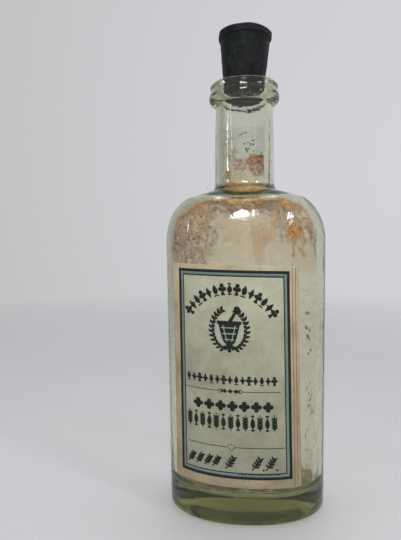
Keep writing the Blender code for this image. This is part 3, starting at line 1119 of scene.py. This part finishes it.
def deposits_at(point):
    """All the deposits at a point of the inner wall, the uppermost last."""
    x, y, z = ((point - Vector((0, AXIS_Y, 0))) / MM)
    found = [
        (HAZE, (0.09 + 0.07 * blotch(point, 190, 0.42, 0.66)) * (1 - smooth_step(93, 97, z))),
        (HAZE, 0.34 * smooth_step(66, 74, z) * (1 - smooth_step(88, 94, z)), 0.12),
        (GREY_FILM, 0.22 * smooth_step(93, 97, z) * (1 - smooth_step(108, 113, z))),
        (SEDIMENT, 0.85 * (1 - smooth_step(6.5, 9.5, z)) * blotch(point, 130, 0.10, 0.42, 1.0)),
        (OLIVE, 0.50 * spot((z,), (90.2,), (3.6,)) * blotch(point, 240, 0.34, 0.56, 2.0), 0.3),
        (OCHRE, 0.50 * spot((z,), (91.0,), (3.4,)) * blotch(point, 260, 0.44, 0.58, 8.0), 0.3),
    ]
    if y < 0:
        return found + front_deposits(x, z, point) + neck_deposits(x, z, point)
    back = 0.45 * spot((z,), (84.0,), (9.0,)) * blotch(point, 520, 0.44, 0.58, 12.0)
    return found + [(PURPLE, back, 1.0)]


def blend_deposits(point):
    """The two stored colours at a point: colour and density, then how speckled and how veined."""
    look = Vector((*HAZE, 0.0, 0.0))
    cover = 0.0
    for color, density, *kinds in deposits_at(point):
        whole = density + cover * (1 - density)
        if whole > 0:
            look = look.lerp(Vector((*color, *kinds, 0.0, 0.0)[:len(look)]), density / whole)
        cover = whole
    return (*look[:3], cover), (*look[3:], 0.0, 1.0)


def residue_point(height, half_width, half_depth, angle):
    """A point of the film, a gap inside the wall, under the shoulder's ceiling and over the floor."""
    point = inner_point(height, half_width, half_depth, angle)
    out = Vector((math.cos(angle) / half_width, math.sin(angle) / half_depth, 0)).normalized()
    ceiling = smooth_step(SHOULDER_START + 6 * MM, CROWN_HEIGHT - WALL, height)
    ceiling *= 1 - smooth_step(NECK_FILLET_TOP - WALL - MM, NECK_FILLET_TOP, height)
    floor = 1 - smooth_step(FLOOR_THICKNESS, FLOOR_THICKNESS + INNER_HEEL_RADIUS, height)
    return point - out * RESIDUE_GAP + Vector((0, 0, RESIDUE_GAP * (floor - ceiling)))


def make_residue_film():
    """One sheet just inside the glass, open in the neck and closed over the floor."""
    _, cavity = inner_rings()
    sizes = [size for size in cavity if size[0] < RESIDUE_TOP]
    fine = [sizes[0]]
    for size in sizes[1:]:
        span = math.hypot(size[0] - fine[-1][0], size[1] - fine[-1][1])
        steps = max(1, int(span / (FINE_ROW if size[0] > FINE_FROM else COARSE_ROW)))
        fine += line_rings(fine[-1], size, steps) + [size]
    bm = bmesh.new()
    loops = [loop_of(bm, residue_point, size, RESIDUE_AROUND) for size in fine]
    skin(bm, loops)
    cap(bm, loops[-1], True)
    film = finish_mesh(bm, "residue_film", residue_material(), SHEET_SHARP)
    stored = film.data.color_attributes.new("residue", "FLOAT_COLOR", "POINT")
    speckled = film.data.color_attributes.new("speckled", "FLOAT_COLOR", "POINT")
    for index, vert in enumerate(film.data.vertices):
        stored.data[index].color, speckled.data[index].color = blend_deposits(vert.co)
    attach(film, "bottle")


def wall_place(x, z):
    """A point on the front of the inner wall, and its outward direction."""
    if z > NECK_FILLET_TOP:
        half_width = half_depth = BORE_RADIUS
        roundness = PLAIN_OVAL
    else:
        rise = max(0.0, z - SHOULDER_START) / (CROWN_HEIGHT - CROWN_WALL - SHOULDER_START)
        bend = math.sqrt(max(0.0, 1 - min(rise, 0.98) ** 2))
        half_width = mix(CROWN_HALF_WIDTH - WALL, BODY_HALF_WIDTH - WALL, bend)
        half_depth = mix(CROWN_HALF_DEPTH - WALL, BODY_HALF_DEPTH - WALL, bend)
        roundness = BODY_ROUNDNESS
    share = max(-0.98, min(0.98, x / half_width))
    y = -half_depth * (1 - abs(share) ** roundness) ** (1 / roundness)
    out = Vector((x / half_width ** 2, y / half_depth ** 2, 0)).normalized()
    return Vector((x, y + AXIS_Y, z)), out


def make_flecks(name, material, center, reach, count, sizes, seed):
    """Small crusty flakes scattered on the inner wall."""
    draw = random.Random(seed)
    bm = bmesh.new()
    for _ in range(count):
        x = draw.gauss(center[0], reach[0]) * MM
        z = draw.gauss(center[1], reach[1]) * MM
        place, out = wall_place(x, z)
        size = draw.uniform(*sizes) * MM
        made = bmesh.ops.create_icosphere(bm, subdivisions=1, radius=size)
        turn = out.to_track_quat("Z", "Y").to_matrix().to_4x4()
        flat = Matrix.Diagonal((draw.uniform(0.6, 1.5), draw.uniform(0.5, 1.3), 0.30, 1.0))
        spin = Matrix.Rotation(draw.uniform(0, 2 * math.pi), 4, "Z")
        move = Matrix.Translation(place - out * (FLECK_GAP + INNER_WAVE))
        bmesh.ops.transform(bm, matrix=move @ turn @ spin @ flat, verts=made["verts"])
        for vert in made["verts"]:
            vert.co += Vector((draw.gauss(0, 1), draw.gauss(0, 1), draw.gauss(0, 1))) * size * 0.10
    flecks = finish_mesh(bm, name, material, SHEET_SHARP)
    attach(flecks, "bottle")


def make_residue():
    make_residue_film()
    black = fleck_material("black_crust", (0.012, 0.010, 0.010), (0.05, 0.03, 0.025))
    rust = fleck_material("rust_crust", (0.16, 0.035, 0.015), (0.38, 0.13, 0.06))
    purple = fleck_material("purple_crust", (0.09, 0.03, 0.03), (0.24, 0.10, 0.08))
    make_flecks("neck_black_flecks", black, (1.7, 103.9), (1.5, 1.5), 18, (0.10, 0.34), 11)
    make_flecks("neck_rust_flecks", rust, (1.8, 98.8), (2.0, 1.4), 60, (0.08, 0.26), 12)
    make_flecks("shoulder_purple_flecks", purple, (-14.0, 80.0), (3.4, 4.2), 150, (0.06, 0.20), 13)
    make_flecks("shoulder_crown_flecks", purple, (0.0, 88.0), (6.5, 1.6), 70, (0.06, 0.18), 14)
    make_flecks("flank_red_flecks", purple, (17.2, 53.0), (0.6, 4.0), 9, (0.35, 0.70), 15)
    make_flecks("floor_dark_flecks", black, (14.0, 9.5), (3.0, 1.0), 24, (0.08, 0.22), 16)


# --- the stage


TABLE_RADIUS = 0.9
LAMP_TARGET = Vector((0, 0, 70 * MM))
BOUNCES = 32


def make_floor():
    """A round table top that fades out into the surround."""
    bm = bmesh.new()
    bmesh.ops.create_circle(bm, cap_ends=True, radius=TABLE_RADIUS, segments=96)
    look = new_look("pale_table")
    tone = look.noise(9.0, 3.0, 0.5)
    distance = look.add("VectorMath", {0: look.place}, operation="LENGTH").outputs["Value"]
    look.surface({
        "Base Color": look.ramp(tone, (0.3, (0.60, 0.60, 0.62)), (0.7, (0.63, 0.63, 0.65))),
        "Roughness": 0.6,
        "Alpha": look.ramp(distance, (0.14, 1.0), (0.62, 0.0)),
    })
    floor = finish_mesh(bm, "table_top", look.owner)


def make_world():
    """A pale surround, brightest behind the bottle and dimmer behind the camera."""
    world = bpy.data.worlds.new("studio")
    bpy.context.scene.world = world
    look = Look(world, "Background", "Generated")
    bright_side = (0.40, 0.90, 0.15)
    facing = look.add("VectorMath", {0: look.place, 1: bright_side}, operation="DOT_PRODUCT")
    share = look.add("MapRange", {"Value": facing.outputs["Value"], "From Min": -1.0})
    color = look.ramp(
        share.outputs["Result"],
        (0.0, (0.40, 0.40, 0.41)),
        (0.40, (0.31, 0.31, 0.32)),
        (0.55, (0.32, 0.32, 0.33)),
        (0.75, (0.50, 0.50, 0.515)),
        (0.88, (0.575, 0.58, 0.595)),
        (1.0, (0.655, 0.655, 0.685)),
    )
    look.surface({"Color": color, "Strength": 1.0})


def add_light(name, place, size, power):
    """A white oval lamp that faces the middle of the bottle."""
    light = bpy.data.lights.new(name, "AREA")
    light.shape = "ELLIPSE"
    light.size, light.size_y = size
    light.energy = power
    obj = bpy.data.objects.new(name, light)
    obj.location = place
    obj.rotation_euler = (LAMP_TARGET - Vector(place)).to_track_quat("-Z", "Y").to_euler()
    bpy.context.scene.collection.objects.link(obj)


def make_lights():
    """The key lamp is a cluster, so that its glint is uneven; sizes are in metres and powers in watts."""
    add_light("key", (-0.035, -0.53, 0.40), (0.125, 0.085), 1.35)
    add_light("key_side", (0.085, -0.53, 0.415), (0.055, 0.04), 0.30)
    add_light("key_low", (-0.105, -0.54, 0.345), (0.035, 0.03), 0.15)
    add_light("ceiling", (0.0, 0.15, 1.1), (0.8, 0.8), 3.0)
    add_light("window_left", (-0.50, -0.18, 0.235), (0.022, 0.12), 0.20)
    add_light("window_right", (0.42, -0.30, 0.35), (0.09, 0.06), 0.6)


def make_camera():
    camera = bpy.data.objects.new("camera", bpy.data.cameras.new("camera"))
    camera.data.lens = CAMERA_LENS
    camera.data.clip_start = 0.01
    camera.location = CAMERA_PLACE
    turn = CAMERA_AIM.to_track_quat("-Z", "Y")
    camera.rotation_mode = "QUATERNION"
    camera.rotation_quaternion = turn @ Quaternion((0, 0, 1), -CAMERA_ROLL)
    bpy.context.scene.collection.objects.link(camera)
    bpy.context.scene.camera = camera


def let_light_pass():
    """Enough bounces for light that runs along inside the glass."""
    cycles = bpy.context.scene.cycles
    cycles.max_bounces = BOUNCES
    cycles.transmission_bounces = BOUNCES
    cycles.glossy_bounces = BOUNCES
    cycles.transparent_max_bounces = BOUNCES


make_camera()
make_world()
make_lights()
make_floor()
make_glass()
make_stopper()
make_paper()
make_print()
make_residue()
let_light_pass()
bpy.context.scene.view_settings.view_transform = "Standard"
